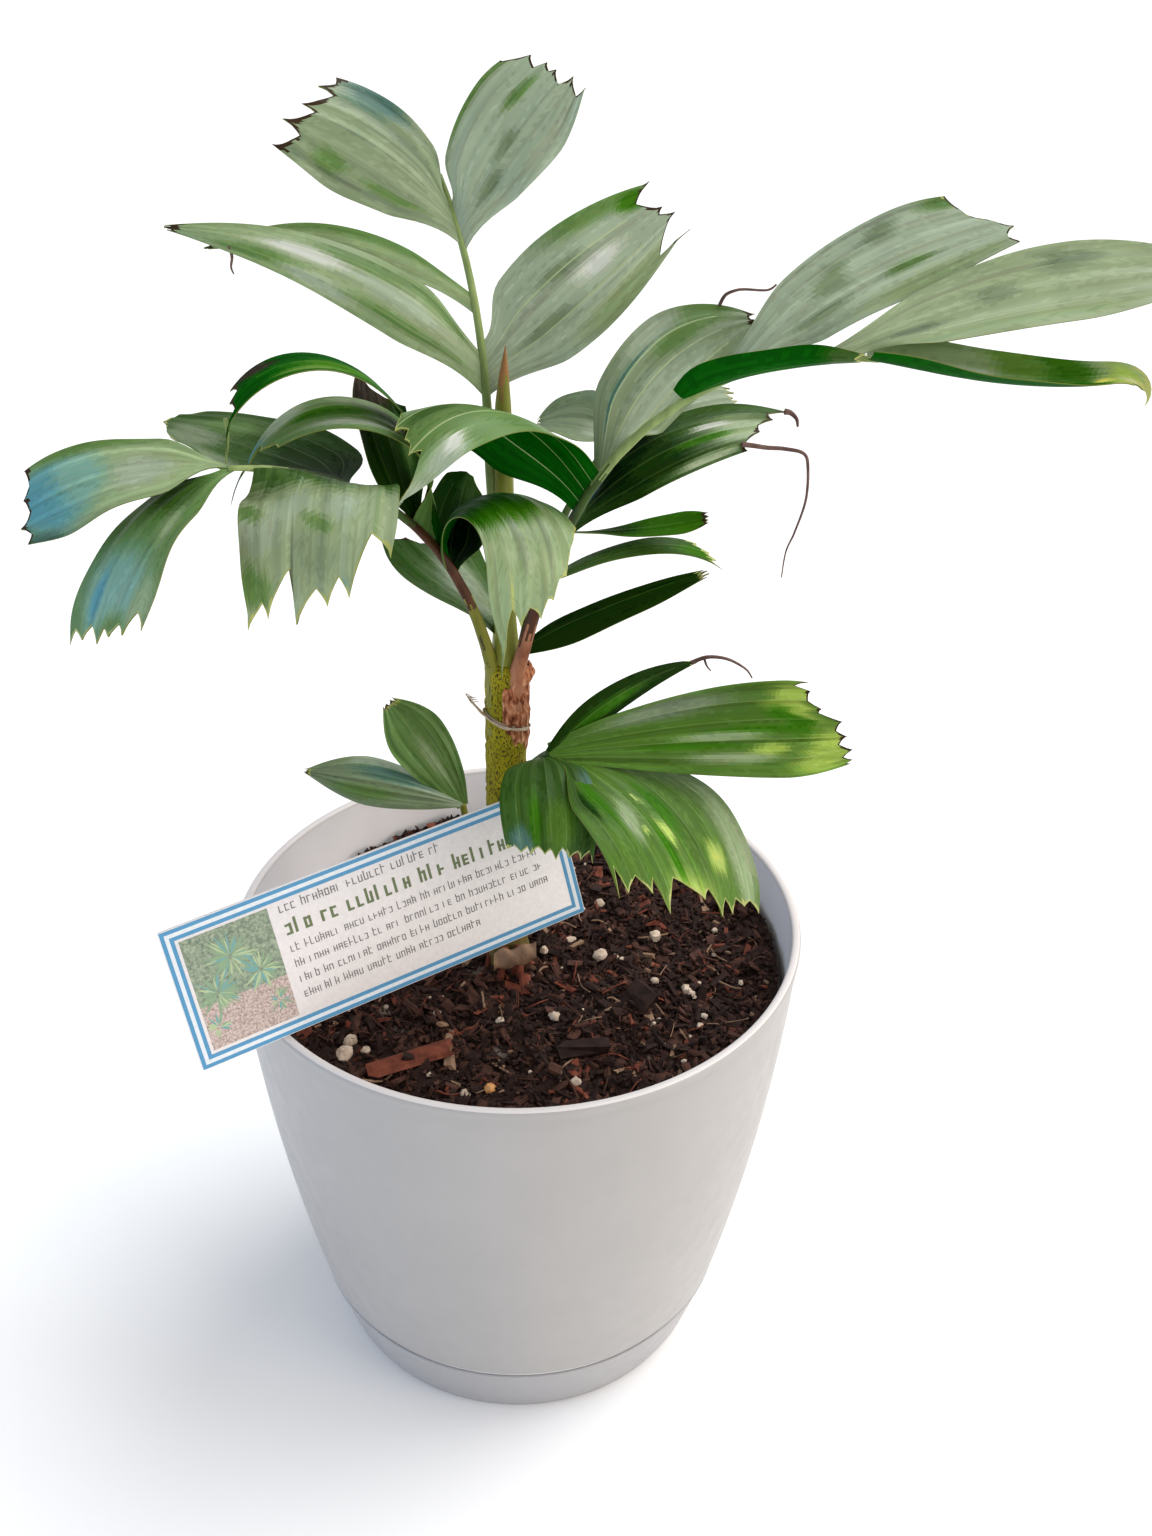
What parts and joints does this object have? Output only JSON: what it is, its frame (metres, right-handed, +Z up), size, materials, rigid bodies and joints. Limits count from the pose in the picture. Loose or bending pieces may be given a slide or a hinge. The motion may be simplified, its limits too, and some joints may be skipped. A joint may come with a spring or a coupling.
{
  "type": "potted walking stick palm",
  "caption": "Young palm with arching fronds of jagged leaflets on a slim ringed stem, with a small side shoot and a leaning plant label, in a tall tapering pot on its saucer.",
  "frame": {"origin": "centre of the saucer's flat underside, which the whole plant stands on", "axes": "+Z up along the stem, +X to the right and -Y towards the viewer of the picture"},
  "size_m": [0.3183, 0.2006, 0.4641],
  "materials": {
    "saucer": "satin",
    "pot": "satin",
    "soil": "rough bark mix",
    "stem": "ringed, speckled",
    "shoot": "smooth",
    "dry_sheath": "papery",
    "leaf_top": "glossy leaf",
    "leaf_right": "glossy leaf",
    "leaf_left": "glossy leaf",
    "leaf_back": "glossy leaf",
    "leaf_low": "glossy leaf",
    "leaf_side": "satin leaf",
    "label": "printed card"
  },
  "bodies": {
    "root": {"saucer": "saucer", "pot": "pot", "soil": "soil", "stem": "stem", "young_shoot": "shoot", "dry_sheath": "dry_sheath", "frond_top": "leaf_top", "frond_right": "leaf_right", "frond_left": "leaf_left", "frond_back": "leaf_back", "frond_low": "leaf_low", "side_shoot": "leaf_side", "label": "label"}
  },
  "joints": []
}
